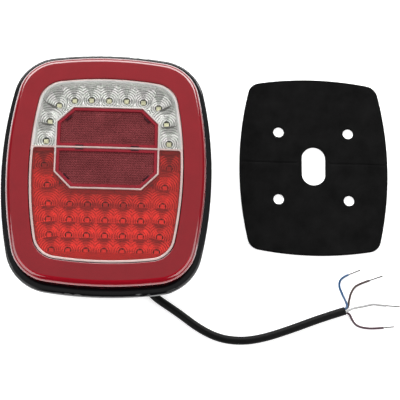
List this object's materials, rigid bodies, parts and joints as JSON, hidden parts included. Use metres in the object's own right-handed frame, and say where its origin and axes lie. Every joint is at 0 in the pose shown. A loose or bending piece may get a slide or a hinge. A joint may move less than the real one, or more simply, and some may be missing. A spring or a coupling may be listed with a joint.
{
  "type": "trailer tail light",
  "caption": "Rounded combination tail light with a glowing ring, clear arch, red field and two reflex reflectors, studs on its back, a cable with bare cores and a foam gasket.",
  "frame": {"origin": "middle of the four-stud pattern, level with the ends of the stud pads that meet the mounting panel", "axes": "+Z is the direction of the light, +X to the lamp's right as seen from the front, +Y to its upper end"},
  "size_m": [0.3868, 0.2736, 0.0694],
  "materials": {
    "housing_plastic": "moulded, satin",
    "zinc_steel": "zinc plated",
    "seal_rubber": "matte",
    "vent_plastic": "fine texture",
    "red_lens": "polished, transparent",
    "field_red_lens": "polished, transparent",
    "clear_lens": "polished, clear",
    "frame_clear": "polished",
    "reflex_red": "prisms behind a polished face",
    "carrier_plastic": "moulded",
    "metallised": "vacuum metallised, stepped",
    "diffuser": "milky",
    "board": "solder mask",
    "led_white": "phosphor",
    "led_red": "clear resin",
    "component_black": "moulded",
    "can_aluminium": "satin",
    "terminal_plastic": "moulded",
    "nylon": "moulded",
    "cable_black": "smooth sheath",
    "core_blue": "smooth insulation",
    "core_brown": "smooth insulation",
    "core_white": "smooth insulation",
    "core_violet": "smooth insulation",
    "tinned_copper": "tinned strands",
    "foam": "closed-cell foam"
  },
  "bodies": {
    "lamp": {"housing": "housing_plastic", "mounting_studs": "zinc_steel", "breather_vent": "vent_plastic", "lens_seal": "seal_rubber", "ring_lens": "red_lens", "trim_frame": "frame_clear", "arch_lens": "clear_lens", "field_lens": "field_red_lens", "upper_reflex_reflector": "reflex_red", "lower_reflex_reflector": "reflex_red", "reflex_carrier": "carrier_plastic", "arch_bowls": "metallised", "field_bowls": "metallised", "ring_light_guide": "diffuser", "circuit_board": "board", "board_screws": "zinc_steel", "white_leds": "led_white", "red_leds": "led_red", "ring_leds": "led_red", "driver_chips": "component_black", "resistors": "component_black", "diodes": "component_black", "capacitors": "can_aluminium", "wire_terminal": "terminal_plastic", "inner_leads": "core_white", "inner_cable_end": "cable_black", "cable_tie": "nylon", "cable_grommet": "seal_rubber", "cable_jacket": "cable_black", "blue_core": "core_blue", "blue_core_tip": "tinned_copper", "brown_core": "core_brown", "brown_core_tip": "tinned_copper", "white_core": "core_white", "white_core_tip": "tinned_copper", "violet_core": "core_violet", "violet_core_tip": "tinned_copper"},
    "gasket": {"mounting_gasket": "foam"}
  },
  "joints": [
    {"name": "gasket_lift", "type": "slide", "parent": "lamp", "child": "gasket", "axis": [0, 0, 1], "range_m": [0, 0.05]}
  ]
}
